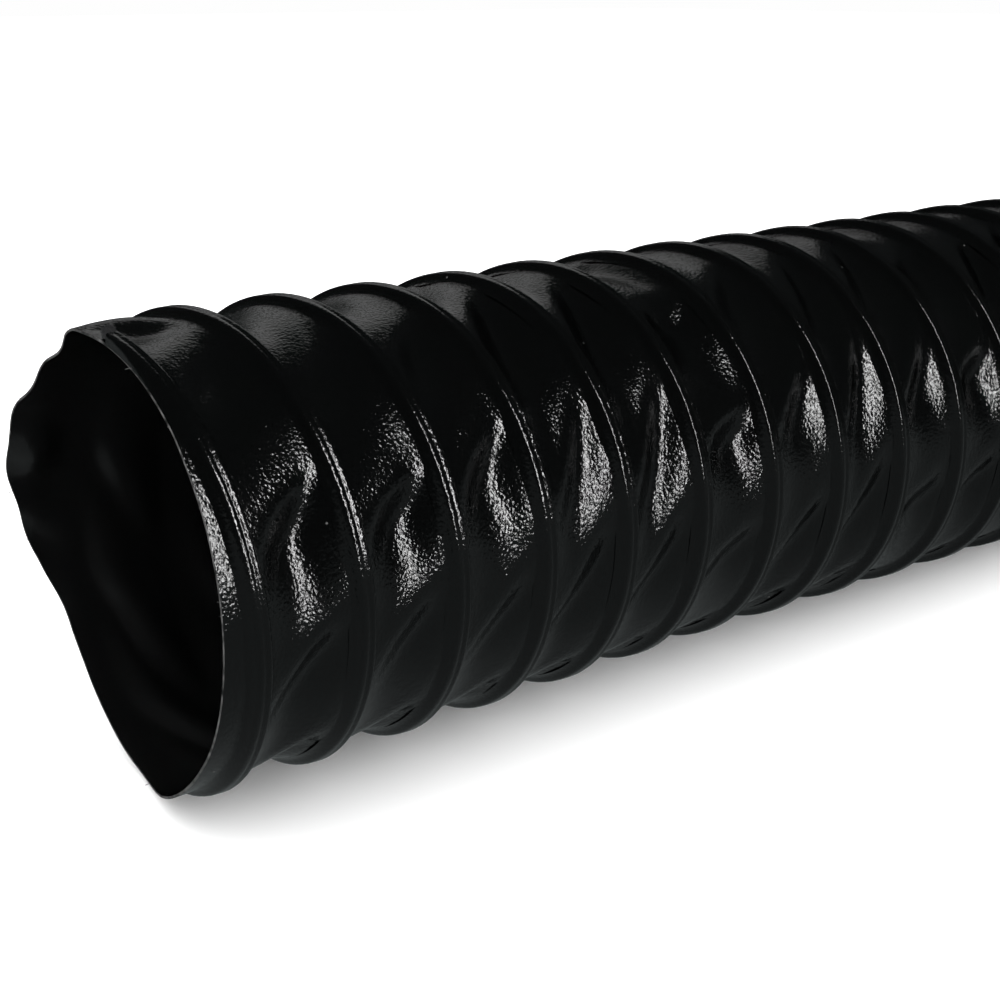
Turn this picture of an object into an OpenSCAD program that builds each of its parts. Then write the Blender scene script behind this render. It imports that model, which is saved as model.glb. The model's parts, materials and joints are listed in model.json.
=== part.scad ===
// Flexible air duct: a coated fabric tube held open by a spring steel wire helix.
// The axis lies along X. The origin is the centre of the near mouth, and +Z is up.
// The wire winds right-handed and leaves each mouth at the top.
// The duct is drawn in five lengths, which squeeze and bend against each other.

/* [Fabric tube] */
// Inside diameter of the tube
bore_d = 102; // [70:1:160]
// Thickness of the coated fabric
fabric_t = 0.6; // [0.4:0.1:1.2]
// Distance along the duct from one turn of wire to the next
turn_pitch = 25.4; // [22:0.2:40]
// How far the fabric sags inwards midway between two turns
sag = 2.5; // [0.5:0.1:5]

/* [Wire] */
// Diameter of the spring steel wire
wire_d = 1.6; // [1:0.1:2]
// Distance from a cut end of the fabric to the middle of the wire, at the top
wire_setback = 1.4; // [1.4:0.1:3]
// Diameter of the dab of adhesive that seals a cut end of the wire
seal_d = 3; // [2.4:0.1:3.4]
// Length of that dab
seal_l = 3.5; // [2:0.5:8]

/* [Cover strip] */
// Width of the fabric strip that is bonded over the wire
cover_w = 6.4; // [6:0.2:12]
// Width of the strip's crest, over the wire
crest_w = 1.9; // [1.7:0.1:2.4]
// Clearance between layers that lie on each other
layer_gap = 0.03; // [0.02:0.01:0.08]

/* [Lengths, in turns of the wire] */
// Turns in the near end, which keeps its shape in a clamp
near_turns = 1; // [1:1:3]
// Turns in the length that squeezes together
squeeze_turns = 4; // [2:1:12]
// Turns in the length that bends sideways
side_bend_turns = 5; // [3:1:12]
// Turns in the length that bends up and down
lift_bend_turns = 5; // [3:1:12]
// Turns in the far end, which keeps its shape in a clamp
far_turns = 1; // [1:1:3]

/* [Facets] */
// Flats round each turn, one of them at the very bottom
flats = 18; // [16:2:24]
// Rows of facets along one pitch of the sagging fabric
sag_rows = 4; // [4:1:8]

/* [Hidden] */

fabric_colour = [0.05, 0.05, 0.055];
cover_colour = [0.09, 0.09, 0.10];
wire_colour = [0.55, 0.56, 0.58];
seal_colour = [0.16, 0.16, 0.17];

bore_r = bore_d / 2;
tube_r = bore_r + fabric_t;
flat_step = 360 / flats;
// A flat at radius r has its corners at radius r * corner_k
corner_k = 1 / cos(flat_step / 2);

// First and last turn of each length, counted from the near mouth
near_end_turn = near_turns;
squeeze_end_turn = near_end_turn + squeeze_turns;
side_bend_end_turn = squeeze_end_turn + side_bend_turns;
lift_bend_end_turn = side_bend_end_turn + lift_bend_turns;
duct_turns = lift_bend_end_turn + far_turns;
duct_l = duct_turns * turn_pitch + 2 * wire_setback;

// Radii of the flats, from the tube outwards
wire_seat_r = tube_r + layer_gap;
wire_mid_r = wire_seat_r + wire_d / 2;
channel_r = wire_seat_r + wire_d + layer_gap;
crest_r = channel_r + fabric_t;

// The wire's six-sided section has flats above and below, at its true diameter
wire_corner = wire_d / 2 / cos(30);
channel_top_w = wire_corner + 4 * layer_gap;
channel_foot_w = 2 * wire_corner + wire_d / 2 + 8 * layer_gap;
// The strip's edge stays this far inside a cut end of the fabric
edge_margin = 0.2;

// A point on the flats: distance x along the duct, radius r of the flat, and
// angle a from the top towards the front (-Y)
function on_flats(x, r, a) = [x, -r * corner_k * sin(a), r * corner_k * cos(a)];

// Angle and place along the duct of corner i of the helix
function helix_a(i) = (i + 0.5) * flat_step;
function helix_x(i) = wire_setback + turn_pitch * helix_a(i) / 360;
function turn_x(turn) = helix_x(turn * flats);

// ---- helical pieces -------------------------------------------------------

// A section is a loop of [along, radius] points: its outer side from left to
// right, then as many points of its inner side from right to left
function wire_section() = [
    [-wire_corner / 2, wire_mid_r + wire_d / 2],
    [wire_corner / 2, wire_mid_r + wire_d / 2],
    [wire_corner, wire_mid_r],
    [wire_corner / 2, wire_mid_r - wire_d / 2],
    [-wire_corner / 2, wire_mid_r - wire_d / 2],
    [-wire_corner, wire_mid_r]
];

function cover_section() = [
    [-cover_w / 2, wire_seat_r],
    [-crest_w / 2, crest_r],
    [crest_w / 2, crest_r],
    [cover_w / 2, wire_seat_r],
    [channel_foot_w / 2, wire_seat_r],
    [channel_top_w / 2, channel_r],
    [-channel_top_w / 2, channel_r],
    [-channel_foot_w / 2, wire_seat_r]
];

function within_ends(x) = min(max(x, edge_margin), duct_l - edge_margin);

function wound_points(section, first, last) = [
    for (i = [first : last])
        for (s = section)
            on_flats(within_ends(helix_x(i) + s[0]), s[1], helix_a(i))
];

// Two triangles for the quad a, b, c, d
function two(a, b, c, d) = [[a, b, c], [a, c, d]];

// Triangles of one end of a loop of n points whose first point is at start
function loop_end(start, n) = [
    for (k = [0 : n / 2 - 2])
        each two(start + k, start + k + 1, start + n - 2 - k, start + n - 1 - k)
];

function flipped(faces) = [for (f = faces) [f[2], f[1], f[0]]];

// Triangles that join ring after ring of n points, closed at both ends
function wound_faces(n, rings) = concat(
    [
        for (j = [0 : rings - 2])
            for (k = [0 : n - 1])
                each two(
                    j * n + k, j * n + (k + 1) % n,
                    (j + 1) * n + (k + 1) % n, (j + 1) * n + k)
    ],
    flipped(loop_end(0, n)),
    loop_end((rings - 1) * n, n)
);

module wound(section, from_turn, to_turn) {
    first = from_turn * flats;
    last = to_turn == duct_turns ? to_turn * flats - 1 : to_turn * flats;
    polyhedron(
        points = wound_points(section, first, last),
        faces = wound_faces(len(section), last - first + 1),
        convexity = 10);
}

module wire(from_turn, to_turn) {
    color(wire_colour)
        wound(wire_section(), from_turn, to_turn);
}

module cover(from_turn, to_turn) {
    color(cover_colour)
        wound(cover_section(), from_turn, to_turn);
}

// ---- the fabric tube ------------------------------------------------------

// Smooth rise from 0 at t = 0 to 1 at t = 1
function ease(t) = let (u = min(max(t, 0), 1)) u * u * (3 - 2 * u);

// Distance along the duct from x, a to the nearest wire
function to_wire(x, a) =
    let (turns = (x - wire_setback) / turn_pitch - a / 360)
    let (part = turns - floor(turns))
    turn_pitch * min(part, 1 - part);

// The sag dies out where the fabric meets the two clamped ends
function sag_share(x) =
    ease((x - turn_x(near_end_turn)) / turn_pitch)
    * ease((turn_x(lift_bend_end_turn) - x) / turn_pitch);

function sag_at(x, a) =
    sag * sag_share(x)
    * ease((to_wire(x, a) - cover_w / 2) / (turn_pitch / 2 - cover_w / 2));

function fabric_ring(x, r) = [
    for (i = [0 : flats - 1])
        on_flats(x, r - sag_at(x, helix_a(i)), helix_a(i))
];

// Rings run along the outside and back along the inside, so that the last
// ring joins the first and the shell closes on itself
function shell_faces(n, rings) = [
    for (j = [0 : rings - 1])
        for (k = [0 : n - 1])
            each two(
                j * n + k, j * n + (k + 1) % n,
                (j + 1) % rings * n + (k + 1) % n, (j + 1) % rings * n + k)
];

module sagging_sleeve(from_turn, to_turn) {
    rows = (to_turn - from_turn) * sag_rows;
    row_x = [for (j = [0 : rows]) turn_x(from_turn) + j * turn_pitch / sag_rows];
    points = concat(
        [for (j = [0 : rows]) each fabric_ring(row_x[j], tube_r)],
        [for (j = [rows : -1 : 0]) each fabric_ring(row_x[j], bore_r)]);
    color(fabric_colour)
        polyhedron(
            points = points,
            faces = shell_faces(flats, 2 * (rows + 1)),
            convexity = 10);
}

module round_sleeve(from_x, to_x) {
    color(fabric_colour)
        translate([from_x, 0, 0])
            rotate([0, 90, 0])
                difference() {
                    cylinder(r = tube_r, h = to_x - from_x, $fn = 96);
                    translate([0, 0, -1])
                        cylinder(r = bore_r, h = to_x - from_x + 2, $fn = 96);
                }
}

// ---- the sealed wire ends -------------------------------------------------

// The dab lies along the tube, against the first corner of the wire
module wire_seal() {
    color(seal_colour)
        rotate([helix_a(0), 0, 0])
            translate([helix_x(0), 0, wire_mid_r * corner_k])
                rotate([-90, 0, 0])
                    cylinder(d = seal_d, h = seal_l, $fn = 32);
}

// ---- one module for each node ---------------------------------------------

module near_sleeve() {
    round_sleeve(0, turn_x(near_end_turn));
}

module near_wire() {
    wire(0, near_end_turn);
}

module near_cover() {
    cover(0, near_end_turn);
}

module near_wire_seal() {
    wire_seal();
}

module squeeze_sleeve() {
    sagging_sleeve(near_end_turn, squeeze_end_turn);
}

module squeeze_wire() {
    wire(near_end_turn, squeeze_end_turn);
}

module squeeze_cover() {
    cover(near_end_turn, squeeze_end_turn);
}

module side_bend_sleeve() {
    sagging_sleeve(squeeze_end_turn, side_bend_end_turn);
}

module side_bend_wire() {
    wire(squeeze_end_turn, side_bend_end_turn);
}

module side_bend_cover() {
    cover(squeeze_end_turn, side_bend_end_turn);
}

module lift_bend_sleeve() {
    sagging_sleeve(side_bend_end_turn, lift_bend_end_turn);
}

module lift_bend_wire() {
    wire(side_bend_end_turn, lift_bend_end_turn);
}

module lift_bend_cover() {
    cover(side_bend_end_turn, lift_bend_end_turn);
}

module far_sleeve() {
    round_sleeve(turn_x(lift_bend_end_turn), duct_l);
}

module far_wire() {
    wire(lift_bend_end_turn, duct_turns);
}

module far_cover() {
    cover(lift_bend_end_turn, duct_turns);
}

module far_wire_seal() {
    translate([duct_l, 0, 0])
        rotate([0, 0, 180])
            wire_seal();
}

// Least gap between two turns of the wire, measured from corner to corner of
// its section over the whole helix
wire_points = wound_points(wire_section(), 0, duct_turns * flats - 1);
wire_corners = len(wire_section());
turn_gap = min([
    for (i = [0 : (duct_turns - 1) * flats - 1])
        for (s = [0 : wire_corners - 1])
            for (t = [0 : wire_corners - 1])
                norm(wire_points[(i + flats) * wire_corners + t]
                    - wire_points[i * wire_corners + s])
]);
echo("least gap between turns of the wire, mm", turn_gap);

near_sleeve();
near_wire();
near_cover();
near_wire_seal();
squeeze_sleeve();
squeeze_wire();
squeeze_cover();
side_bend_sleeve();
side_bend_wire();
side_bend_cover();
lift_bend_sleeve();
lift_bend_wire();
lift_bend_cover();
far_sleeve();
far_wire();
far_cover();
far_wire_seal();
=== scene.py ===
import json
import math

import bmesh
import bpy
import numpy as np
from bpy.props import FloatProperty, FloatVectorProperty, IntProperty, PointerProperty
from bpy.types import Operator, Panel, PropertyGroup
from mathutils import Matrix, Vector

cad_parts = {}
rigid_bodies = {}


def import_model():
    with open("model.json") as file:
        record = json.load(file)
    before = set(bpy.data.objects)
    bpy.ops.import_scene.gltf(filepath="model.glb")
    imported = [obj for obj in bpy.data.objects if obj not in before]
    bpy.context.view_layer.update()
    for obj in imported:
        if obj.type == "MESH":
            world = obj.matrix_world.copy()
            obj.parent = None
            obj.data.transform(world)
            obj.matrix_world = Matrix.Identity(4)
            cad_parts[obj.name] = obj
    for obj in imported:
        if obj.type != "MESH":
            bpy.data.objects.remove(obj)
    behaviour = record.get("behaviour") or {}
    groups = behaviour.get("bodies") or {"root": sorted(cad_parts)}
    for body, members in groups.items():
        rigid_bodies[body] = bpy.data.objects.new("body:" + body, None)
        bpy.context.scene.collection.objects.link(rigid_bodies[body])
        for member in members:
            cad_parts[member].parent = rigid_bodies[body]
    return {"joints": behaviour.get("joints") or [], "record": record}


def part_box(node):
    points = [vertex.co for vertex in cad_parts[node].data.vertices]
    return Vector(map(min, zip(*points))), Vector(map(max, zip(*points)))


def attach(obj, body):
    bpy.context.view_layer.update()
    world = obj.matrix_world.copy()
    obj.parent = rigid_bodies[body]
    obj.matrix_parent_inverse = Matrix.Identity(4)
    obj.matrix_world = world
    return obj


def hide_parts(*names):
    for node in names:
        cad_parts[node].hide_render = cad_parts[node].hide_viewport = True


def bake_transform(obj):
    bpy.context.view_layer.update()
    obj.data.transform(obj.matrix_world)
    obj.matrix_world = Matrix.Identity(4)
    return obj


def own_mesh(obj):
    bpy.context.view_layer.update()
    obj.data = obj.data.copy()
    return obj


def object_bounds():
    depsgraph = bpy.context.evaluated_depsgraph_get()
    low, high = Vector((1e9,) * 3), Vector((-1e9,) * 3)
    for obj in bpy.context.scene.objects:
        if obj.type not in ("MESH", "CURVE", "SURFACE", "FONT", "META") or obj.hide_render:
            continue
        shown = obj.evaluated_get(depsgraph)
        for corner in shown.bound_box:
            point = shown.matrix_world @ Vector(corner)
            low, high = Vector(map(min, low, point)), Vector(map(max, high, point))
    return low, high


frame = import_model()

bl_info = {
    "name": "Flexible air duct",
    "version": (1, 0, 0),
    "blender": (4, 5, 0),
    "location": "3D View > Sidebar > Air duct",
    "description": "Makes a black coated-fabric air duct with its wire helix and bonded strip",
    "category": "Add Mesh",
}

MM = 0.001
TAU = 2 * math.pi

# ---- sizes that come from the frame ---------------------------------------

CAD_BOX = [list(corner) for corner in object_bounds()]
RECORD = frame["record"]
BODIES = RECORD["behaviour"]["bodies"]

# The five lengths of the duct, from the near mouth to the far one, and the
# joint that each one gives way to; the two ends are rigid
LENGTHS = {
    "near": None,
    "squeeze": "squeeze",
    "side_bend": "side_bend",
    "lift_bend": "lift_bend",
    "far": None,
}
# Turns of wire in each length
TURNS = {"near": 1, "squeeze": 4, "side_bend": 5, "lift_bend": 5, "far": 1}
ALL_TURNS = sum(TURNS.values())


def stretch_of(length):
    """Where a length starts and ends along the duct, in metres."""
    low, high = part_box(f"{length}_sleeve")
    return low.x, high.x


DUCT_L = stretch_of("far")[1]
TUBE_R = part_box("near_sleeve")[1].z
BORE_R = RECORD["mounts"][0]["dims"]["r_mm"] * MM
WALL = TUBE_R - BORE_R
PITCH = (stretch_of("side_bend")[1] - stretch_of("side_bend")[0]) / TURNS["side_bend"]
SETBACK = (DUCT_L - ALL_TURNS * PITCH) / 2
REST_Z = CAD_BOX[0][2]
# The wire starts this share of a turn past the top of the duct
FIRST_CORNER = (stretch_of("squeeze")[0] - SETBACK) / PITCH - TURNS["near"]


# ---- settings -------------------------------------------------------------

class DuctFabric(PropertyGroup):
    """The coated fabric tube and the folds between the turns of the wire"""

    colour: FloatVectorProperty(
        name="Colour", description="Colour of the vinyl coating", subtype="COLOR",
        size=3, min=0, max=1, default=(0.0007, 0.0008, 0.0008))
    # Painted light: the lining is painted several times lighter than the outside's vinyl, so that
    # the inside of the mouth shows light where little reaches it
    lining_painted_lighter: FloatVectorProperty(
        name="Lining", description="Colour of the inside, a little duller", subtype="COLOR",
        size=3, min=0, max=1, default=(0.0032, 0.0034, 0.0034))
    roughness: FloatProperty(
        name="Roughness", description="Roughness of the vinyl between the grains",
        default=0.11, min=0, max=1)
    fold_depth: FloatProperty(
        name="Fold depth", description="How far the first folds sink below their creases",
        default=5.5 * MM, unit="LENGTH")
    folds: FloatProperty(
        name="Folds per turn", description="Number of creases in one turn", default=9)
    slant: FloatProperty(
        name="Slant", description="How far round the duct a crease climbs across one panel",
        default=0.6, unit="ROTATION")
    slack: FloatProperty(
        name="Slack", description="Spare fabric between two turns, as a share of the pitch",
        default=0.10)
    twist: FloatProperty(
        name="Twist", description="Shear that winding left in the fabric", default=0.10)
    flap: FloatProperty(
        name="Flap", description="How far the free strip at a mouth waves in and out",
        default=5.0 * MM, unit="LENGTH")
    flare: FloatProperty(
        name="Flare", description="How far the free strip at a mouth leans out",
        default=1.6 * MM, unit="LENGTH")
    dent: FloatProperty(
        name="Dent", description="Depth of the dent in the free strip behind the near mouth",
        default=4.0 * MM, unit="LENGTH")
    flap_spare: FloatProperty(
        name="Flap spare", description="Spare width of the free strip, as a share of it",
        default=0.14)
    rounds: IntProperty(
        name="Rounds", description="Rounds of settling that draw the fabric into its folds",
        default=16)
    seed: IntProperty(name="Seed", description="Seed of the folds", default=5)


class DuctStrip(PropertyGroup):
    """The strip that is bonded over the wire"""

    colour: FloatVectorProperty(
        name="Colour", description="Colour of the strip", subtype="COLOR",
        size=3, min=0, max=1, default=(0.0007, 0.0008, 0.0008))
    roughness: FloatProperty(
        name="Roughness", description="Roughness of the strip", default=0.11, min=0, max=1)
    crest: FloatProperty(
        name="Crest", description="Height of the strip over the wire, above the fabric",
        default=2.35 * MM, unit="LENGTH")
    steps: IntProperty(name="Steps", description="Sections in one turn", default=120)


class DuctWire(PropertyGroup):
    """The spring steel wire and the adhesive on its cut ends"""

    colour: FloatVectorProperty(
        name="Colour", description="Colour of the drawn steel", subtype="COLOR",
        size=3, min=0, max=1, default=(0.5, 0.5, 0.52))
    diameter: FloatProperty(
        name="Diameter", description="Diameter of the wire", default=1.6 * MM, unit="LENGTH")
    sides: IntProperty(name="Sides", description="Sides of the wire's section", default=12)


class DuctGrain(PropertyGroup):
    """The leather-like grain of the vinyl, and what lies on it"""

    size: FloatProperty(
        name="Grain", description="Width of one grain", default=0.85 * MM, unit="LENGTH")
    depth: FloatProperty(
        name="Depth", description="Height of one grain", default=0.07 * MM, unit="LENGTH")
    dust: FloatProperty(
        name="Dust", description="Share of the places that hold a speck of dust", default=0.03)


class DuctFray(PropertyGroup):
    """The yarn ends that stick out where the fabric is cut"""

    share: FloatProperty(
        name="Share", description="Share of the points of the cut that hold a thread",
        default=0.08, min=0, max=1)
    length: FloatProperty(
        name="Length", description="Length of the longest threads", default=1.1 * MM,
        unit="LENGTH")
    thickness: FloatProperty(
        name="Thickness", description="Thickness of a thread", default=0.18 * MM, unit="LENGTH")
    seed: IntProperty(name="Seed", description="Seed of the threads", default=3)


class DuctStage(PropertyGroup):
    """Camera, floor and light"""

    camera_at: FloatVectorProperty(
        name="Camera", description="Place of the camera", subtype="TRANSLATION",
        size=3, default=(-0.1624, -0.3267, 0.1221))
    yaw: FloatProperty(
        name="Yaw", description="Turn of the view from +Y towards +X",
        default=math.radians(40.15), unit="ROTATION")
    tilt: FloatProperty(
        name="Tilt", description="How far the view looks down",
        default=math.radians(16.7), unit="ROTATION")
    lens: FloatProperty(
        name="Lens", description="Focal length on a 36 mm sensor, in mm", default=62.4)
    floor: FloatVectorProperty(
        name="Floor", description="Colour of the floor", subtype="COLOR",
        size=3, min=0, max=1, default=(0.95, 0.95, 0.95))


# ---- the fabric -----------------------------------------------------------

# Rows of the coarse grid in each length, and columns round the duct; the
# finished outside has twice as many of both
ROWS = {"near": 19, "squeeze": 70, "side_bend": 88, "lift_bend": 88, "far": 18}
COLUMNS = 216
# The fabric is bonded to the strip this far before the wire and past it
BONDED_BEFORE = 3.2 * MM
BONDED_PAST = 1.7 * MM
# The hand-cut mouth: how far in the edge lies at each angle from the top to the front
NEAR_CUT = [
    (0, 0.6), (20, 0.3), (60, 0.0), (100, 0.3), (135, 0.4), (150, 1.2), (162, 3.4), (172, 6.2),
    (184, 9.0), (198, 10.4), (206, 11.2), (214, 11.9), (222, 12.6), (230, 12.9), (238, 12.7),
    (244, 13.4), (249, 10.9), (262, 7.8), (270, 6.4), (278, 3.8), (286, 2.6), (294, 2.4),
    (302, 3.6), (310, 5.4), (318, 6.8), (326, 7.2), (334, 6.6), (344, 3.6), (352, 1.4), (360, 0.6),
]
# The waves of the free strip at a mouth, inward at 1 and outward at -1
FLAP_WAVE = [
    (0, 0), (30, 0.4), (60, 0.5), (90, 0.5), (120, 0.2), (160, 0.3), (200, -0.3), (214, 0.4),
    (228, -0.5), (240, 0.5), (250, -0.8), (258, 0.7), (267, -0.7), (276, 0.9), (284, -0.4),
    (293, 0.9), (303, -0.1), (312, 0.8), (322, 0.2), (332, 0.8), (342, 0.4), (350, 0.4), (360, 0),
]
# The waves climb this many radians round in a metre along the duct
FLAP_CLIMB = 8
# The free strip is fully loose at this share of the pitch from its bonded edge
FLAP_FREE_FROM = 1 / 2.2
# The dent behind the near mouth: angle and distance along the duct, and its half widths
DENT_AT = (math.radians(288), 10 * MM)
DENT_SIZE = (math.radians(11), 5 * MM)
# The far mouth's cut, measured inward like the near one's
FAR_CUT = [
    (0, 0.2), (45, 1.3), (90, 0.5), (140, 1.6), (185, 0.6), (230, 0.9), (280, 0.3), (330, 1.1),
    (360, 0.2),
]
# Turns of creases before the first turn, which sets where round the duct they fall
FOLD_PHASE = 1.6
# A fold falls steeply over this share of its width and rises gently over the rest
FOLD_FALL = 0.2
# The bonded fabric bulges just before the wire: height, place and half width
BOND_BULGE = (0.45 * MM, 2.2 * MM, 1.2 * MM)
# Out of round: share of the radius, lobes, radians that they climb in a metre, and their start
OUT_OF_ROUND = ((0.0045, 2, -9, 0), (0.0030, 3, 23, 1.3), (0.0022, 1, -41, 0.4))
# The far part spreads on the floor: where that starts and how far on it is full, in metres
SPREAD_START, SPREAD_RUN = 0.16, 0.13
# Its share of the radius, and the angle and half width of the bulge on each side
SPREAD, SPREAD_AT, SPREAD_WIDTH = 0.055, math.radians(140), 0.55


def round_the_duct(values, a):
    """A smooth curve round the duct through pairs of an angle in degrees and a value in mm."""
    angles = [math.radians(angle) for angle, _ in values]
    heights = [height * MM for _, height in values]
    blur = [math.radians(step) for step in (-5, -3, -1, 1, 3, 5)]
    return sum(np.interp((a + step) % TAU, angles, heights) for step in blur) / len(blur)


def places_along(a):
    """Distance along the duct of every point of the grid; a is the angle of each column."""
    near_end = stretch_of("near")[1]
    far_start = stretch_of("far")[0]
    near_cut, far_cut = round_the_duct(NEAR_CUT, a), round_the_duct(FAR_CUT, a)
    rows = []
    for length in LENGTHS:
        start, end = stretch_of(length)
        for k in range(ROWS[length] + (length == "far")):
            x = start + (end - start) * k / ROWS[length]
            near_share = max(0.0, 1 - x / near_end)
            far_share = max(0.0, (x - far_start) / (DUCT_L - far_start))
            rows.append(x + near_share * near_cut - far_share * far_cut)
    return np.array(rows)


def on_duct(x, r, a):
    """Points at distance x along the duct, radius r and angle a from the top to the front."""
    x, r, a = np.broadcast_arrays(x, r, a)
    return np.stack([x, -r * np.sin(a), r * np.cos(a)], axis=-1)


def in_panel(x, a):
    """Angle along the helix and share of the pitch past the wire on the left."""
    turns = (x - SETBACK) / PITCH - a / TAU
    whole = np.floor(turns)
    return a + TAU * whole, turns - whole


def smooth_random(draw, angle, per_turn):
    """A smooth random wave along the helix, mostly within -1 to 1."""
    count = int(per_turn * (ALL_TURNS + 4)) + 8
    heights = draw.normal(size=count) * 0.6
    place = (angle / TAU + 2) * per_turn
    left = np.floor(place).astype(int)
    t = place - left
    t = t * t * (3 - 2 * t)
    return heights[left % count] * (1 - t) + heights[(left + 1) % count] * t


def first_folds(draw, angle, share, fabric):
    """The folds before they settle: 0 on a crease, down to -1 between two creases."""
    count = int(fabric.folds * (ALL_TURNS + 3)) + 40
    creases = np.sort(np.arange(count) + draw.normal(size=count) * 0.1)
    climb = fabric.folds / TAU * fabric.slant
    place = (angle / TAU + FOLD_PHASE) * fabric.folds
    # No two creases climb alike, and none is quite straight
    place = place + climb * (share - 0.5) * (1 + 0.4 * smooth_random(draw, angle, 3.3))
    place = place + 0.15 * np.sin(TAU * share) * smooth_random(draw, angle, 5.0)
    left = np.searchsorted(creases, place.ravel(), side="right") - 1
    left = np.clip(left, 0, count - 2).reshape(place.shape)
    t = (place - creases[left]) / (creases[left + 1] - creases[left])
    depth = 0.45 + 0.55 * draw.random(count)
    return -np.minimum(t / FOLD_FALL, (1 - t) / (1 - FOLD_FALL)) * depth[left]


def settle_folds(points, free, threads, rounds):
    """Moves the free points until no thread of the cloth is longer than it was woven."""
    stiff = 0.02
    # A thread that is pressed short pushes back by only this share, so that the cloth folds
    push_back = 0.3
    for _ in range(rounds):
        for (down, across), woven in threads.items():
            # Threads that only run round the duct are taken with rows and columns changed over
            fields = (points, free, woven)
            p, f, w = fields if down else (field.swapaxes(0, 1) for field in fields)
            shift = across if down else 0
            for parity in (0, 1):
                here = np.arange(parity, len(p) - down, 2)
                there = (here + 1) % len(p)
                a, b = p[here], np.roll(p[there], -shift, axis=1)
                fa, fb = f[here], np.roll(f[there], -shift, axis=1)
                step = b - a
                now = np.sqrt((step * step).sum(axis=-1))
                move = (now - w[here]) / (now * np.maximum(fa + fb, 1e-9))
                move = np.where(now < w[here], move * push_back, move)
                step *= move[..., None]
                p[here] = a + step * fa[..., None]
                p[there] = np.roll(b - step * fb[..., None], shift, axis=1)
        points -= stiff * bending(bending(points)) * free[..., None]
    # The coating is too thick for creases finer than a few millimetres
    thick_rounds, thick = 16, 0.03
    for _ in range(thick_rounds):
        points -= thick * bending(bending(points)) * free[..., None]
    # Nor does it turn sharply along the edges of the bond
    edge_rounds, edge = 3, 0.2
    for _ in range(edge_rounds):
        points[1:-1] += edge * (points[2:] + points[:-2] - 2 * points[1:-1])
    return points


def square_seams(points):
    """Puts each seam between two lengths in one plane, so that it stays shut when they move."""
    row = 0
    # Rows on each side of a seam that move with it
    reach = 9
    for length in list(LENGTHS)[:-1]:
        row += ROWS[length]
        off = points[row, :, 0] - stretch_of(length)[1]
        for k in range(-reach, reach + 1):
            points[row + k, :, 0] -= off * math.cos(math.pi * k / (2 * reach)) ** 2
    return points


def bending(field):
    """How far each point of the grid lies from the middle of its neighbours."""
    out = np.roll(field, 1, axis=1) + np.roll(field, -1, axis=1) - 2 * field
    out[1:-1] += field[2:] + field[:-2] - 2 * field[1:-1]
    return out


def finer_grid(points):
    """Doubles the rows and columns, on a smooth curve through the old points."""
    ring = np.roll(points, -1, axis=1)
    between = (9 * (points + ring) - np.roll(points, 1, axis=1) - np.roll(points, -2, axis=1)) / 16
    wide = np.stack([points, between], axis=2).reshape(len(points), -1, 3)
    first = 3 * wide[0] - 3 * wide[1] + wide[2]
    last = 3 * wide[-1] - 3 * wide[-2] + wide[-3]
    padded = np.concatenate([first[None], wide, last[None]])
    between = (9 * (padded[1:-2] + padded[2:-1]) - padded[:-3] - padded[3:]) / 16
    tall = np.empty((2 * len(wide) - 1, wide.shape[1], 3))
    tall[0::2] = wide
    tall[1::2] = between
    return tall


def fabric_surface(fabric):
    """The outside of the fabric on the fine grid."""
    draw = np.random.default_rng(fabric.seed)
    a = np.arange(COLUMNS) * TAU / COLUMNS
    x = places_along(a)
    angle, share = in_panel(x, a)
    whole = np.round((angle - a) / TAU)
    # No wire lies before the first turn or past the last one
    far_off = 10 * PITCH
    past = np.where(whole < 0, far_off, share * PITCH)
    before = np.where(whole > ALL_TURNS - 2, far_off, (1 - share) * PITCH)
    free = ((past > BONDED_PAST) & (before > BONDED_BEFORE)).astype(float)
    gap = np.minimum(past - BONDED_PAST, before - BONDED_BEFORE)
    # Folds are deepest a little past the middle of a panel and end at its bonded edges
    across = np.clip((past - BONDED_PAST) / (PITCH - BONDED_PAST - BONDED_BEFORE), 0, 1)
    window = np.sin(math.pi * across ** 1.2) ** 0.9
    folds = first_folds(draw, angle, share, fabric)
    bulge, bulge_at, bulge_width = BOND_BULGE
    bulge = bulge * np.exp(-((before - bulge_at) / bulge_width) ** 2)
    depth = -fabric.fold_depth * folds * window - bulge
    # The free strip at each mouth hangs in waves that grow towards the cut
    loose_strip = (whole < 0) | (whole > ALL_TURNS - 2)
    freedom = np.where(loose_strip, np.clip(gap / (PITCH * FLAP_FREE_FROM), 0, 1), 0)
    wave = round_the_duct(FLAP_WAVE, a + FLAP_CLIMB * x) / MM
    dent = np.exp(-((a - DENT_AT[0]) / DENT_SIZE[0]) ** 2 - ((x - DENT_AT[1]) / DENT_SIZE[1]) ** 2)
    flap = freedom * (fabric.flap * wave + fabric.dent * dent - fabric.flare)
    depth = np.where(loose_strip, flap, depth)
    points = on_duct(x, TUBE_R - depth, a)
    woven = woven_lengths(x, free, freedom, fabric)
    points = settle_folds(points, free, woven, fabric.rounds)
    return finer_grid(square_seams(points))


def woven_lengths(x, free, freedom, fabric):
    """Lengths of the threads in the flat cloth: along, round and on the bias."""
    slack = fabric.slack * PITCH / (PITCH - BONDED_BEFORE - BONDED_PAST)
    round_step = TAU * TUBE_R / COLUMNS
    lengths = {}
    for down, across in ((1, 0), (0, 1), (1, 1), (1, -1)):
        last = len(x) - down
        there = [np.roll(field[down:], -across, axis=1) for field in (x, free, freedom)]
        loose = (free[:last] + there[1]) / 2
        spare = (freedom[:last] + there[2]) / 2
        along = (there[0] - x[:last]) * (1 + slack * loose)
        round_way = across * round_step * (1 + fabric.flap_spare * spare)
        lengths[down, across] = np.hypot(along, round_way + fabric.twist * loose * along)
    return lengths


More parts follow.
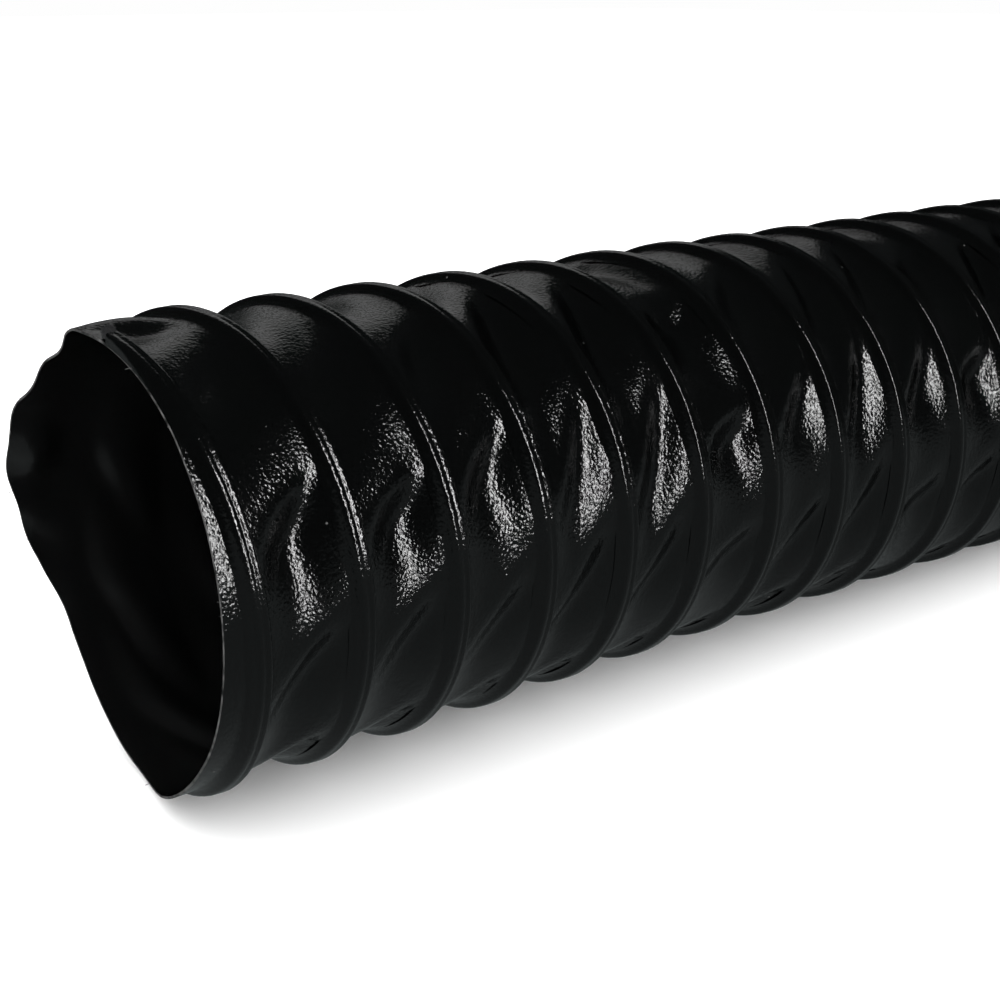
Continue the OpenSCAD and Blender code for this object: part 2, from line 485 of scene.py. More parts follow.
def grid_normals(points):
    """Normals of the outside, on every point of the grid."""
    along = np.gradient(points, axis=0)
    around = np.roll(points, -1, axis=1) - np.roll(points, 1, axis=1)
    normals = np.cross(along, around)
    normals /= np.linalg.norm(normals, axis=-1, keepdims=True)
    outward = points * np.array([0, 1, 1])
    return normals if (normals * outward).sum() > 0 else -normals


def settled(points):
    """The duct isn't quite round: its own weight and handling press it a little."""
    x, y, z = points[..., 0], points[..., 1], points[..., 2]
    r = np.hypot(y, z)
    a = np.arctan2(-y, z)
    wave = sum(
        share * np.cos(lobes * a + climb * x + start)
        for share, lobes, climb, start in OUT_OF_ROUND)
    # Towards the far mouth it spreads a little where it lies
    spread = SPREAD * np.clip((x - SPREAD_START) / SPREAD_RUN, 0, 1)
    wave = wave + spread * np.exp(-((np.abs(a) - SPREAD_AT) / SPREAD_WIDTH) ** 2)
    out = on_duct(x, r * (1 + wave), a)
    # What would go through the floor lies flat on it
    out[..., 2] = np.maximum(out[..., 2], REST_Z)
    return out


def fabric_mesh(name, outside, normals, start, end, halve_inside):
    """A closed piece of the tube between two rows: outside, inside and both rims."""
    out = outside[start:end + 1]
    out_n = normals[start:end + 1]
    skip = 2 if halve_inside else 1
    # Straight through the wall at both rims, so that each rim lies in the plane of the seam
    through = out_n * WALL
    through[[0, -1], :, 0] = 0
    inner = (out - through)[::skip, ::skip]
    inner_n = -out_n[::skip, ::skip]
    rows, cols = out.shape[:2]
    in_rows, in_cols = inner.shape[:2]
    first_inner = rows * cols

    def quads(n_rows, n_cols, first, flip):
        i, j = np.meshgrid(np.arange(n_rows - 1), np.arange(n_cols), indexing="ij")
        k = (j + 1) % n_cols
        loop = [i * n_cols + j, i * n_cols + k, (i + 1) * n_cols + k, (i + 1) * n_cols + j]
        loop = loop[::-1] if flip else loop
        return np.stack(loop, axis=-1).reshape(-1, 4) + first

    # Outward winding: round the duct from top to front, then along it
    outer_faces = quads(rows, cols, 0, False)
    inner_faces = quads(in_rows, in_cols, first_inner, True)
    rims = []
    for row_out, row_in, turn in ((0, 0, False), (rows - 1, in_rows - 1, True)):
        for j in range(in_cols):
            k = (j + 1) % in_cols
            edge = [row_out * cols + (skip * j + s) % cols for s in range(skip + 1)]
            face = edge + [first_inner + row_in * in_cols + k, first_inner + row_in * in_cols + j]
            rims.append(face if turn else face[::-1])
    verts = np.concatenate([out.reshape(-1, 3), inner.reshape(-1, 3)])
    faces = outer_faces.tolist() + inner_faces.tolist() + rims
    mesh = bpy.data.meshes.new(name)
    mesh.from_pydata(verts.tolist(), [], faces)
    # Normals come from the whole duct, so that no seam shows between lengths
    smooth = np.concatenate([out_n.reshape(-1, 3), inner_n.reshape(-1, 3)])
    corners = np.empty(len(mesh.loops), dtype=np.int32)
    mesh.loops.foreach_get("vertex_index", corners)
    by_corner = smooth[corners]
    # On the rims they lean half way out of the length's ends
    rim = by_corner[-(skip + 3) * len(rims):]
    half = len(rim) // 2
    rim[:half, 0] -= 1
    rim[half:, 0] += 1
    rim /= np.linalg.norm(rim, axis=-1, keepdims=True)
    all_smooth(mesh)
    # Material 0 outside, 1 inside, 2 on the rims
    which = np.repeat((0, 1, 2), (len(outer_faces), len(inner_faces), len(rims)))
    mesh.polygons.foreach_set("material_index", which.astype(np.int32))
    mesh.normals_split_custom_set(by_corner.tolist())
    mesh.update()
    return mesh


# ---- what is wound along the helix ----------------------------------------

def new_group(name, kind, inputs, outputs):
    """A node group with named inputs and outputs, and the sockets at its two ends."""
    group = bpy.data.node_groups.new(name, kind)
    for label, value, default in inputs:
        socket = group.interface.new_socket(
            label, in_out="INPUT", socket_type=f"NodeSocket{value}")
        if default is not None:
            socket.default_value = default
    for label, value in outputs:
        group.interface.new_socket(label, in_out="OUTPUT", socket_type=f"NodeSocket{value}")
    given = group.nodes.new("NodeGroupInput").outputs
    made = group.nodes.new("NodeGroupOutput").inputs
    return group, given, made


def fill_inputs(tree, node, inputs):
    """Gives each named input of a node a socket to follow or a value to hold."""
    for key, value in inputs.items():
        if isinstance(value, bpy.types.NodeSocket):
            tree.links.new(value, node.inputs[key])
        else:
            node.inputs[key].default_value = value


def add_node(tree, kind, inputs=None, **settings):
    """A new node with its settings and its inputs."""
    node = tree.nodes.new(kind)
    for name, value in settings.items():
        setattr(node, name, value)
    fill_inputs(tree, node, inputs or {})
    return node


def math_node(tree, operation, *values):
    """One arithmetic step on sockets or numbers."""
    node = add_node(tree, "ShaderNodeMath", dict(enumerate(values)), operation=operation)
    return node.outputs[0]


def winding_tree():
    """Sweeps the section that it is given along a stretch of the wire's helix."""
    tree, given, made = new_group("winding", "GeometryNodeTree", [
        ("Section", "Geometry", None),
        ("First Turn", "Float", 0.0),
        ("Turns", "Float", 1.0),
        ("Radius", "Float", 0.05),
        ("Pitch", "Float", 0.025),
        ("Setback", "Float", 0.001),
        ("Steps per Turn", "Int", 120),
        ("Material", "Material", None),
    ], [("Mesh", "Geometry")])
    helix = add_node(tree, "GeometryNodeCurveSpiral", {
        "Resolution": given["Steps per Turn"],
        "Rotations": given["Turns"],
        "Start Radius": given["Radius"],
        "End Radius": given["Radius"],
        "Height": math_node(tree, "MULTIPLY", given["Turns"], given["Pitch"]),
        "Reverse": True,
    })
    upright = add_node(
        tree, "GeometryNodeSetCurveNormal", {"Curve": helix.outputs["Curve"]}, mode="Z_UP")
    outline = add_node(tree, "GeometryNodeMeshToCurve", {"Mesh": given["Section"]})
    sweep = add_node(tree, "GeometryNodeCurveToMesh", {
        "Curve": upright.outputs["Curve"],
        "Profile Curve": outline.outputs["Curve"],
        "Fill Caps": True,
    })
    # Round to the first turn and along to it, still about the Z axis
    turn = add_node(tree, "ShaderNodeCombineXYZ", {
        "Z": math_node(tree, "MULTIPLY", given["First Turn"], TAU)})
    shift = add_node(tree, "ShaderNodeCombineXYZ", {
        "Z": math_node(
            tree, "MULTIPLY_ADD", given["First Turn"], given["Pitch"], given["Setback"])})
    to_start = add_node(tree, "GeometryNodeTransform", {
        "Geometry": sweep.outputs["Mesh"],
        "Rotation": turn.outputs["Vector"],
        "Translation": shift.outputs["Vector"],
    })
    # A half turn about the line between X and Z lays the helix along X
    half_turn = Matrix(((0, 0, 1), (0, -1, 0), (1, 0, 0)))
    lay_down = add_node(tree, "GeometryNodeTransform", {
        "Geometry": to_start.outputs["Geometry"],
        "Rotation": half_turn.to_euler(),
    })
    finish_tree(tree, lay_down.outputs["Geometry"], given["Material"], made)
    return tree


def finish_tree(tree, geometry, material, made):
    """Ends a tree in real faces that carry the material."""
    real = add_node(tree, "GeometryNodeRealizeInstances", {"Geometry": geometry})
    dressed = add_node(tree, "GeometryNodeSetMaterial", {
        "Geometry": real.outputs["Geometry"], "Material": material})
    tree.links.new(dressed.outputs["Geometry"], made["Mesh"])


def section_mesh(name, outline):
    """A closed loop of edges for the sweep, from distances along the duct and heights."""
    mesh = bpy.data.meshes.new(name)
    count = len(outline)
    edges = [(k, (k + 1) % count) for k in range(count)]
    mesh.from_pydata([(height, -along, 0.0) for along, height in outline], edges, [])
    return mesh


def run_tree(tree, name, base, values):
    """Runs a tree on the base mesh and returns the result as a plain mesh."""
    holder = bpy.data.objects.new(name, base)
    bpy.context.scene.collection.objects.link(holder)
    modifier = holder.modifiers.new(tree.name, "NODES")
    modifier.node_group = tree
    for item in tree.interface.items_tree:
        if item.item_type == "SOCKET" and item.in_out == "INPUT" and item.name in values:
            modifier[item.identifier] = values[item.name]
    bpy.context.view_layer.update()
    shown = holder.evaluated_get(bpy.context.evaluated_depsgraph_get())
    mesh = bpy.data.meshes.new_from_object(shown)
    mesh.name = name
    bpy.data.objects.remove(holder)
    return mesh


def points_of(mesh):
    """Where every vertex of a mesh is."""
    flat = np.empty(3 * len(mesh.vertices), dtype=np.float32)
    mesh.vertices.foreach_get("co", flat)
    return flat.reshape(-1, 3)


def keep_place(mesh):
    """Stores where every vertex is at rest, so that the grain follows the moving fabric."""
    place = mesh.attributes.new("place", "FLOAT_VECTOR", "POINT")
    place.data.foreach_set("vector", points_of(mesh).ravel())


def all_smooth(mesh):
    """Shades every face smooth."""
    mesh.polygons.foreach_set("use_smooth", np.ones(len(mesh.polygons), dtype=bool))


def turns_before(length):
    """Turns of wire up to the start of a length; the very first corner is cut short."""
    names = list(LENGTHS)
    return sum(TURNS[name] for name in names[:names.index(length)]) + FIRST_CORNER


def turns_in(length):
    """Turns of wire in a length; the last turn stops short of the far mouth."""
    return TURNS[length] - (2 * FIRST_CORNER if length == "far" else 0)


def wound_pieces(kind, outline, steps, material, change):
    """Sweeps an outline through all five lengths, one piece for each."""
    tree = winding_tree()
    for length in LENGTHS:
        values = {
            "First Turn": turns_before(length),
            "Turns": float(turns_in(length)),
            "Radius": TUBE_R,
            "Pitch": PITCH,
            "Setback": SETBACK,
            "Steps per Turn": steps,
            "Material": material,
        }
        base = section_mesh(f"{length}_section", outline)
        mesh = run_tree(tree, f"{length}_{kind}", base, values)
        points = change(points_of(mesh).astype(float))
        mesh.vertices.foreach_set("co", points.astype(np.float32).ravel())
        mesh.update()
        all_smooth(mesh)
        mesh.set_sharp_from_angle(angle=math.radians(50))
        keep_place(mesh)
        yield length, add_object(mesh)


def thread_tree():
    """Frayed yarn ends: short bent threads on a share of the points that it is given."""
    tree, given, made = new_group("frayed_threads", "GeometryNodeTree", [
        ("Cut Edge", "Geometry", None),
        ("Share", "Float", 0.2),
        ("Length", "Float", 0.002),
        ("Thickness", "Float", 0.0001),
        ("Lean", "Float", 0.7),
        ("Heading", "Float", 0.0),
        ("Seed", "Int", 1),
        ("Material", "Material", None),
    ], [("Mesh", "Geometry")])
    # One thread, 1 long and bowed, then scaled to its length
    bow = add_node(tree, "GeometryNodeCurveQuadraticBezier", {
        "Resolution": 6, "Start": (0, 0, 0), "Middle": (0.55, 0.12, 0), "End": (1, -0.05, 0.25)})
    size = add_node(tree, "ShaderNodeCombineXYZ", dict.fromkeys("XYZ", given["Length"]))
    long = add_node(tree, "GeometryNodeTransform", {
        "Geometry": bow.outputs["Curve"], "Scale": size.outputs["Vector"]})
    round_yarn = add_node(tree, "GeometryNodeCurvePrimitiveCircle", {
        "Resolution": 5, "Radius": math_node(tree, "MULTIPLY", given["Thickness"], 0.5)})
    yarn = add_node(tree, "GeometryNodeCurveToMesh", {
        "Curve": long.outputs["Geometry"],
        "Profile Curve": round_yarn.outputs["Curve"],
        "Fill Caps": True,
    })
    picked = random_value(tree, "BOOLEAN", given["Seed"], 0, Probability=given["Share"])
    # It rolls a lot and swings a little, about the way out of the mouth
    swings = []
    for step in (1, 2, 3):
        swing = random_value(tree, "FLOAT", given["Seed"], step)
        swing = math_node(tree, "SUBTRACT", swing, 0.5)
        swings.append(math_node(tree, "MULTIPLY", swing, given["Lean"]))
    turn = add_node(tree, "ShaderNodeCombineXYZ", {
        "X": math_node(tree, "MULTIPLY", swings[0], 8.0),
        "Y": swings[1],
        "Z": math_node(tree, "ADD", swings[2], given["Heading"]),
    })
    # Most threads are short
    reach = math_node(tree, "POWER", random_value(tree, "FLOAT", given["Seed"], 4), 3.0)
    placed = add_node(tree, "GeometryNodeInstanceOnPoints", {
        "Points": given["Cut Edge"],
        "Selection": picked,
        "Instance": yarn.outputs["Mesh"],
        "Rotation": turn.outputs["Vector"],
        "Scale": math_node(tree, "ADD", reach, 0.25),
    })
    finish_tree(tree, placed.outputs["Instances"], given["Material"], made)
    return tree


def random_value(tree, kind, seed, step, **inputs):
    """A random value for every point, 0 to 1 or yes and no."""
    inputs["Seed"] = math_node(tree, "ADD", seed, step)
    node = add_node(tree, "FunctionNodeRandomValue", inputs, data_type=kind)
    return next(socket for socket in node.outputs if socket.enabled)


def cut_threads(end, edge, heading, fray, material):
    """The frayed threads of one mouth, along the row of points where it is cut."""
    base = bpy.data.meshes.new(f"{end}_cut")
    base.from_pydata(edge.tolist(), [], [])
    values = {
        "Share": fray.share,
        "Length": fray.length,
        "Thickness": fray.thickness,
        "Heading": heading,
        "Seed": fray.seed,
        "Material": material,
    }
    mesh = run_tree(thread_tree(), f"{end}_cut_threads", base, values)
    keep_place(mesh)
    piece = add_object(mesh)
    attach(piece, f"{end}_end")


# ---- putting pieces on the frame ------------------------------------------

def add_object(data):
    """An object at the origin for a mesh, a lamp or a camera, under the same name."""
    made = bpy.data.objects.new(data.name, data)
    bpy.context.scene.collection.objects.link(made)
    return made


def fix_to_length(piece, length, node):
    """Puts a piece in place of a solid of the frame and hides the solid: a rigid length's piece goes
    on that solid's body, a sliding length's on the joint's parent body, and a bending length's stays
    fixed where it is.
    """
    joint = next((j for j in frame["joints"] if j["name"] == LENGTHS[length]), None)
    start, end = stretch_of(length)
    if joint is None:
        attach(piece, next(b for b, nodes in BODIES.items() if node in nodes))
    elif joint["type"] == "slide":
        shortest = max(abs(v) for v in joint["range_m"])
        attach(piece, joint["parent"])
        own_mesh(piece)
    else:
        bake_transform(piece)
    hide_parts(node)


# ---- finishes -------------------------------------------------------------

def remap(tree, value, from_low, from_high, to_low=0.0, to_high=1.0):
    """Maps a value from one range to another, kept inside the second."""
    return add_node(tree, "ShaderNodeMapRange", {
        "Value": value,
        "From Min": from_low,
        "From Max": from_high,
        "To Min": to_low,
        "To Max": to_high,
    }).outputs["Result"]


def add_noise(tree, place, scale, detail=2.0):
    """Noise that follows a place on the surface."""
    return add_node(tree, "ShaderNodeTexNoise", {
        "Vector": place, "Scale": scale, "Detail": detail}).outputs


def two_tone(tree, share, first, second):
    """A colour between two others."""
    return add_node(tree, "ShaderNodeMix", {
        "Factor": share, "A": (*first, 1), "B": (*second, 1)}, data_type="RGBA").outputs["Result"]


def bumps(tree, height, distance):
    """The normal of a surface with bumps on it."""
    return add_node(tree, "ShaderNodeBump", {
        "Height": height, "Distance": distance}).outputs["Normal"]


def grain_group(name):
    """Leather-like grain: rounded cells of uneven size with fine pores on them."""
    group, given, made = new_group(
        name, "ShaderNodeTree",
        [("Vector", "Vector", None), ("Grain Size", "Float", 0.001)],
        [("Height", "Float")])
    scale = math_node(group, "DIVIDE", 1.0, given["Grain Size"])
    # Cells that are pushed about by up to 0.9 mm aren't all alike
    push = 0.9 * MM
    shifted = add_node(group, "ShaderNodeVectorMath", {
        0: add_noise(group, given["Vector"], scale, 1.0)["Color"],
        1: (push, push, push),
        2: given["Vector"],
    }, operation="MULTIPLY_ADD")
    cells = add_node(group, "ShaderNodeTexVoronoi", {
        "Smoothness": 0.35, "Vector": shifted.outputs["Vector"], "Scale": scale,
    }, feature="SMOOTH_F1")
    dome = remap(group, cells.outputs["Distance"], 0.0, 0.75, 1.0, 0.0)
    pores = add_noise(group, given["Vector"], math_node(group, "MULTIPLY", scale, 2.6))
    fine = math_node(group, "MULTIPLY", pores["Fac"], 0.35)
    group.links.new(math_node(group, "ADD", dome, fine), made["Height"])
    return group


def dust_group(name):
    """Scattered specks of dust and lint."""
    group, given, made = new_group(
        name, "ShaderNodeTree",
        [("Vector", "Vector", None), ("Amount", "Float", 0.05)],
        [("Mask", "Float")])
    cells = add_node(
        group, "ShaderNodeTexVoronoi", {"Scale": 260.0, "Vector": given["Vector"]}).outputs
    speck = remap(group, cells["Distance"], 0.05, 0.09, 1.0, 0.0)
    pick = add_node(group, "ShaderNodeSeparateColor", {"Color": cells["Color"]})
    chosen = math_node(group, "LESS_THAN", pick.outputs["Red"], given["Amount"])
    group.links.new(math_node(group, "MULTIPLY", speck, chosen), made["Mask"])
    return group


SHADER_GROUPS = {"vinyl_grain": grain_group, "dust_specks": dust_group}


def use_group(tree, name, inputs):
    """Places a shader group in a tree; each is built once and then found by its name."""
    group = bpy.data.node_groups.get(name) or SHADER_GROUPS[name](name)
    return add_node(tree, "ShaderNodeGroup", inputs, node_tree=group).outputs


def new_material(name, colour, roughness):
    """A material with a Principled BSDF; returns it with its shader."""
    material = bpy.data.materials.new(name)
    material.use_nodes = True
    shader = material.node_tree.nodes["Principled BSDF"]
    shader.inputs["Base Color"].default_value = (*colour, 1)
    shader.inputs["Roughness"].default_value = roughness
    return material, shader


def rest_place(tree):
    """Where a point of the surface is at rest."""
    return add_node(tree, "ShaderNodeAttribute", attribute_name="place").outputs["Vector"]


def vinyl(name, colour, roughness, grain, depth):
    """Glossy black vinyl with a leather-like grain and a little dust."""
    material, shader = new_material(name, colour, roughness)
    tree = material.node_tree
    place = rest_place(tree)
    cells = use_group(tree, "vinyl_grain", {"Vector": place, "Grain Size": grain.size})
    dust = use_group(tree, "dust_specks", {"Vector": place, "Amount": grain.dust})["Mask"]
    # Handling leaves broad, faint matt patches
    rub = add_noise(tree, place, 55.0, 4.0)["Fac"]
    sheen = remap(tree, rub, 0.3, 0.75, roughness * 0.85, roughness * 1.35)
    dusty = math_node(tree, "MULTIPLY", dust, 0.4)
    fill_inputs(tree, shader, {
        "Roughness": math_node(tree, "ADD", sheen, dusty),
        "Base Color": two_tone(tree, dust, colour, (0.08, 0.08, 0.078)),
        "Normal": bumps(tree, cells["Height"], depth),
    })
    return material


def cut_edge_material():
    """The raw cut: grey yarn ends between two skins of black vinyl."""
    material, shader = new_material("cut_edge", (0.03, 0.03, 0.03), 0.6)
    tree = material.node_tree
    yarn = remap(tree, add_noise(tree, rest_place(tree), 450.0, 4.0)["Fac"], 0.35, 0.65)
    tone = two_tone(tree, yarn, (0.002, 0.002, 0.002), (0.09, 0.09, 0.088))
    fill_inputs(tree, shader, {"Base Color": tone})
    return material


def steel_material(colour):
    """Drawn spring steel, with a fine unevenness in its shine."""
    material, shader = new_material("spring_steel", colour, 0.3)
    tree = material.node_tree
    drawn = add_noise(tree, rest_place(tree), 2500.0)["Fac"]
    fill_inputs(tree, shader, {
        "Metallic": 1.0, "Roughness": remap(tree, drawn, 0.3, 0.7, 0.22, 0.42)})
    return material


def adhesive_material():
    """A cured dab of black adhesive, smooth with small lumps and a little dust."""
    material, shader = new_material("cured_adhesive", (0.012, 0.012, 0.0125), 0.12)
    tree = material.node_tree
    place = rest_place(tree)
    dust = use_group(tree, "dust_specks", {"Vector": place, "Amount": 0.1})["Mask"]
    fill_inputs(tree, shader, {
        "Normal": bumps(tree, add_noise(tree, place, 900.0)["Fac"], 0.12 * MM),
        "Roughness": remap(tree, dust, 0.0, 1.0, 0.12, 0.5),
    })
    return material


# ---- operators ------------------------------------------------------------

class DUCT_OT_fabric(Operator):
    """Make the coated fabric tube, with its folds, in five lengths"""

    bl_idname = "duct.fabric"
    bl_label = "Fabric tube"

    def execute(self, context):
        fabric = context.scene.duct_fabric
        grain = context.scene.duct_grain
        outer = vinyl("vinyl_outside", fabric.colour, fabric.roughness, grain, grain.depth)
        # The inside takes the lining colour, which is painted lighter than the outside as painted
        # light inside the mouth
        inner = vinyl("vinyl_inside", fabric.lining_painted_lighter, 0.2, grain, grain.depth * 0.4)
        edge = cut_edge_material()
        outside = settled(fabric_surface(fabric))
        normals = grid_normals(outside)
        row = 0
        for length in LENGTHS:
            last = row + 2 * ROWS[length]
            halve = length not in ("near", "far")
            mesh = fabric_mesh(f"{length}_fabric", outside, normals, row, last, halve)
            for material in (outer, inner, edge):
                mesh.materials.append(material)
            keep_place(mesh)
            fix_to_length(add_object(mesh), length, f"{length}_sleeve")
            row = last
        fray = context.scene.duct_fray
        cut_threads("near", outside[0], math.pi, fray, edge)
        cut_threads("far", outside[-1], 0.0, fray, edge)
        return {"FINISHED"}


def strip_outline(strip, wire):
    """The strip's section over the wire: along the duct, and above the fabric."""
    crest = strip.crest / MM
    # Along the duct in mm, and height as a share of the crest's: a feathered left flank, two
    # low bumps where the strip lies over the wire and a steep right flank
    over = [
        (-4.1, -0.12), (-3.6, 0.03), (-3.2, 0.17), (-2.9, 0.31), (-2.65, 0.47), (-2.45, 0.62),
        (-2.25, 0.75), (-2.05, 0.84), (-1.85, 0.9), (-1.65, 0.935), (-1.4, 0.956), (-1.15, 0.969),
        (-1.0, 0.971), (-0.85, 0.964), (-0.65, 0.944), (-0.45, 0.934), (-0.25, 0.94), (-0.05, 0.957),
        (0.25, 0.983), (0.5, 0.996), (0.7, 1), (0.85, 0.99), (1.05, 0.955), (1.25, 0.89),
        (1.45, 0.8), (1.65, 0.67), (1.83, 0.51), (2.0, 0.34), (2.17, 0.17), (2.35, 0.03),
        (2.6, -0.12),
    ]
    over = [(x, y * crest) for x, y in over]
    tunnel = wire.diameter / MM + 0.05
    under = [
        (1.1, -0.12), (0.85, tunnel * 0.5), (0.55, tunnel * 0.86), (0.0, tunnel),
        (-0.55, tunnel * 0.86), (-0.85, tunnel * 0.5), (-1.1, -0.12),
    ]
    return [(x * MM, y * MM) for x, y in over + under]


def inside_mouths(points):
    """The cuts through the mouths trim the strip as well."""
    margin = 0.2 * MM
    points[..., 0] = np.clip(points[..., 0], margin, DUCT_L - margin)
    return settled(points)


class DUCT_OT_strip(Operator):
    """Make the strip over the wire, in five lengths"""

    bl_idname = "duct.strip"
    bl_label = "Strip over the wire"

    def execute(self, context):
        strip = context.scene.duct_strip
        grain = context.scene.duct_grain
        material = vinyl(
            "vinyl_strip", strip.colour, strip.roughness, grain, grain.depth * 0.7)
        outline = strip_outline(strip, context.scene.duct_wire)
        pieces = wound_pieces("strip", outline, strip.steps, material, inside_mouths)
        for length, piece in pieces:
            fix_to_length(piece, length, f"{length}_cover")
        return {"FINISHED"}


class DUCT_OT_wire(Operator):
    """Make the spring wire, in five lengths"""

    bl_idname = "duct.wire"
    bl_label = "Spring wire"

    def execute(self, context):
        wire = context.scene.duct_wire
        r = wire.diameter / 2
        outline = [
            (r * math.cos(TAU * k / wire.sides), r + r * math.sin(TAU * k / wire.sides))
            for k in range(wire.sides)
        ]
        material = steel_material(wire.colour)
        steps = 72
        for length, piece in wound_pieces("spring", outline, steps, material, settled):
            fix_to_length(piece, length, f"{length}_wire")
        return {"FINISHED"}


class DUCT_OT_seals(Operator):
    """Make the dabs of adhesive that seal the two ends of the wire"""

    bl_idname = "duct.seals"
    bl_label = "Wire seals"

    def execute(self, context):
        material = adhesive_material()
        for end in ("near", "far"):
            node = f"{end}_wire_seal"
            low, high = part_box(node)
            mesh = dab_mesh(f"{end}_adhesive", (low + high) / 2, (high - low) / 2)
            mesh.materials.append(material)
            keep_place(mesh)
            fix_to_length(add_object(mesh), end, node)
        return {"FINISHED"}


def dab_mesh(name, centre, half):
    """A lumpy rounded dab that fills a box."""
    shape = bmesh.new()
    bmesh.ops.create_icosphere(shape, subdivisions=4, radius=1.0)
    for v in shape.verts:
        d = v.co.copy()
        lump = 1 + 0.10 * math.sin(5 * d.x + 1) * math.cos(4 * d.y) + 0.06 * math.sin(9 * d.z)
        v.co = Vector((d.x * half.x, d.y * half.y, d.z * half.z)) * lump + centre
    for face in shape.faces:
        face.smooth = True
    mesh = bpy.data.meshes.new(name)
    shape.to_mesh(mesh)
    shape.free()
    return mesh


class DUCT_OT_stage(Operator):
    """Make the camera, the floor, the lights and the world"""

    bl_idname = "duct.stage"
    bl_label = "Stage"

    def execute(self, context):
        stage = context.scene.duct_stage
        make_camera(context.scene, stage)
        make_floor(stage)
        make_world(context.scene)
        make_lights()
        context.scene.view_settings.view_transform = "Standard"
        return {"FINISHED"}


def look_along(thing, direction):
    """Points a camera or lamp along a direction, upright."""
    thing.rotation_mode = "QUATERNION"
    thing.rotation_quaternion = direction.to_track_quat("-Z", "Y")


def make_camera(scene, stage):
    camera = add_object(bpy.data.cameras.new("camera"))
    camera.location = stage.camera_at
    level = math.cos(stage.tilt)
    look_along(camera, Vector((
        level * math.sin(stage.yaw), level * math.cos(stage.yaw), -math.sin(stage.tilt))))
    camera.data.sensor_width = 36
    camera.data.lens = stage.lens
    camera.data.clip_start = 0.01
    scene.camera = camera


def make_floor(stage):
    half = 8.0
    below = 0.1 * MM
    mesh = bpy.data.meshes.new("floor")
    corners = [(-half, -half), (half, -half), (half, half), (-half, half)]
    mesh.from_pydata([(x, y, REST_Z - below) for x, y in corners], [], [(0, 1, 2, 3)])
    mesh.materials.append(paper_material(stage.floor))
    add_object(mesh)


def mixed(tree, share, first, second):
    """One shader where the share is 0 and another where it is 1."""
    return add_node(
        tree, "ShaderNodeMixShader", {"Fac": share, 1: first, 2: second}).outputs[0]


def paper_material(colour):
    """Matt white paper: brighter to the camera than it is lit, and dim in reflections."""
    material = bpy.data.materials.new("floor_paper")
    material.use_nodes = True
    tree = material.node_tree
    tree.nodes.clear()
    path = add_node(tree, "ShaderNodeLightPath").outputs
    paper = add_node(tree, "ShaderNodeBsdfDiffuse", {"Color": (*colour, 1)})
    lift = math_node(tree, "MULTIPLY", path["Is Camera Ray"], 0.1)
    glow = add_node(tree, "ShaderNodeEmission", {"Strength": lift})
    both = add_node(tree, "ShaderNodeAddShader", {0: paper.outputs[0], 1: glow.outputs[0]})
    mirrored = add_node(tree, "ShaderNodeEmission", {"Color": (0.15, 0.165, 0.165, 1)})
    shown = mixed(tree, path["Is Glossy Ray"], both.outputs[0], mirrored.outputs[0])
    add_node(tree, "ShaderNodeOutputMaterial", {"Surface": shown})
    return material


def make_world(scene):
    """White to the eye, even light all round, and a dim room in the reflections."""
    world = bpy.data.worlds.new("studio")
    scene.world = world
    world.use_nodes = True
    tree = world.node_tree
    tree.nodes.clear()
    path = add_node(tree, "ShaderNodeLightPath").outputs
    even, room, seen = (
        add_node(tree, "ShaderNodeBackground", {"Color": (*colour, 1)}).outputs[0]
        for colour in ((2.1, 2.1, 2.1), (0.026, 0.029, 0.029), (0.99, 0.99, 0.99)))
    lit = mixed(tree, path["Is Glossy Ray"], even, room)
    shown = mixed(tree, path["Is Camera Ray"], lit, seen)
    add_node(tree, "ShaderNodeOutputWorld", {"Surface": shown})


# For each lamp its width, height and power, the share of the duct's length that it points at,
# its azimuth and elevation in degrees, and how far off it is
LAMPS = {
    "key": (0.07, 0.68, 3.8, 0.1, 14, 25, 0.75),
    "rear_soft": (0.9, 0.6, 0.65, 0.5, 152, 30, 1.3),
}


def make_lights():
    """A narrow upright key lamp in front and a broad soft one behind, for the gloss alone."""
    for name, (width, height, power, share, azimuth, elevation, distance) in LAMPS.items():
        data = bpy.data.lights.new(name, "AREA")
        data.shape = "RECTANGLE"
        data.size, data.size_y = width, height
        data.energy = power
        place_light(data, DUCT_L * share, direction_from(azimuth, elevation), distance)


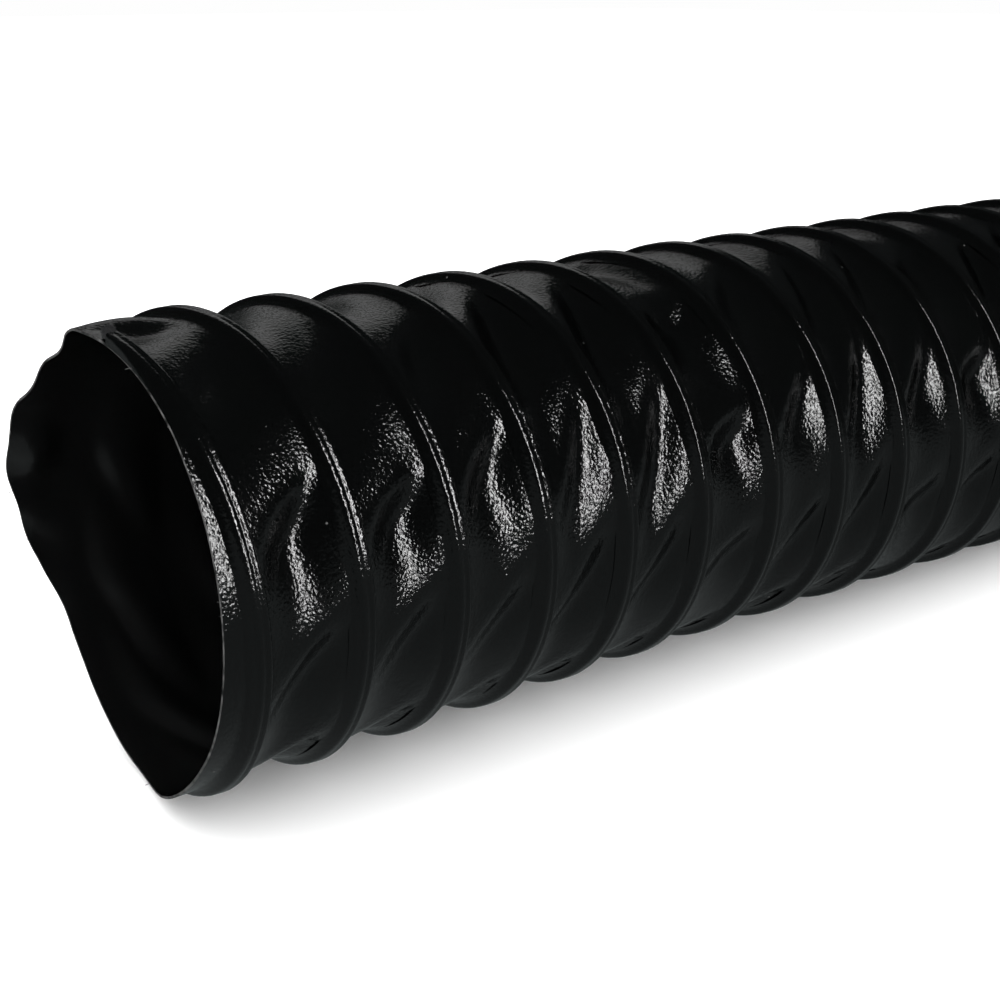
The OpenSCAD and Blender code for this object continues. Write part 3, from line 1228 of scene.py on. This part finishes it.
def place_light(data, x, towards, distance):
    """Puts a lamp at a distance from the place x on the duct's axis and turns it there."""
    lamp = add_object(data)
    lamp.location = Vector((x, 0, 0)) + towards * distance
    look_along(lamp, -towards)
    lamp.visible_diffuse = False


def direction_from(azimuth, elevation):
    """Unit vector from the duct towards a place; azimuth 0 is in front of it, 90 at its right."""
    a, e = math.radians(azimuth), math.radians(elevation)
    return Vector((math.sin(a) * math.cos(e), -math.cos(a) * math.cos(e), math.sin(e)))


class DUCT_PT_sidebar(Panel):
    """Lists what makes the duct, in order"""

    bl_label = "Air duct"
    bl_idname = "DUCT_PT_sidebar"
    bl_space_type = "VIEW_3D"
    bl_region_type = "UI"
    bl_category = "Air duct"

    def draw(self, context):
        for group, operators in PANEL_ROWS:
            box = self.layout.box()
            for operator in operators:
                box.operator(operator)
            settings = getattr(context.scene, group)
            for name in settings.bl_rna.properties.keys():
                if name not in ("rna_type", "name"):
                    box.prop(settings, name)


GROUPS = {
    "duct_fabric": DuctFabric,
    "duct_strip": DuctStrip,
    "duct_wire": DuctWire,
    "duct_grain": DuctGrain,
    "duct_fray": DuctFray,
    "duct_stage": DuctStage,
}
PANEL_ROWS = (
    ("duct_fabric", ("duct.fabric",)),
    ("duct_strip", ("duct.strip",)),
    ("duct_wire", ("duct.wire", "duct.seals")),
    ("duct_grain", ()),
    ("duct_fray", ()),
    ("duct_stage", ("duct.stage",)),
)
OPERATORS = (DUCT_OT_fabric, DUCT_OT_strip, DUCT_OT_wire, DUCT_OT_seals, DUCT_OT_stage)


def register():
    for cls in (*GROUPS.values(), *OPERATORS, DUCT_PT_sidebar):
        bpy.utils.register_class(cls)
    for name, cls in GROUPS.items():
        setattr(bpy.types.Scene, name, PointerProperty(type=cls))


def unregister():
    for name in GROUPS:
        delattr(bpy.types.Scene, name)
    for cls in (DUCT_PT_sidebar, *OPERATORS, *GROUPS.values()):
        bpy.utils.unregister_class(cls)


def main():
    register()
    bpy.ops.duct.fabric()
    bpy.ops.duct.strip()
    bpy.ops.duct.wire()
    bpy.ops.duct.seals()
    bpy.ops.duct.stage()


if __name__ == "__main__":
    main()
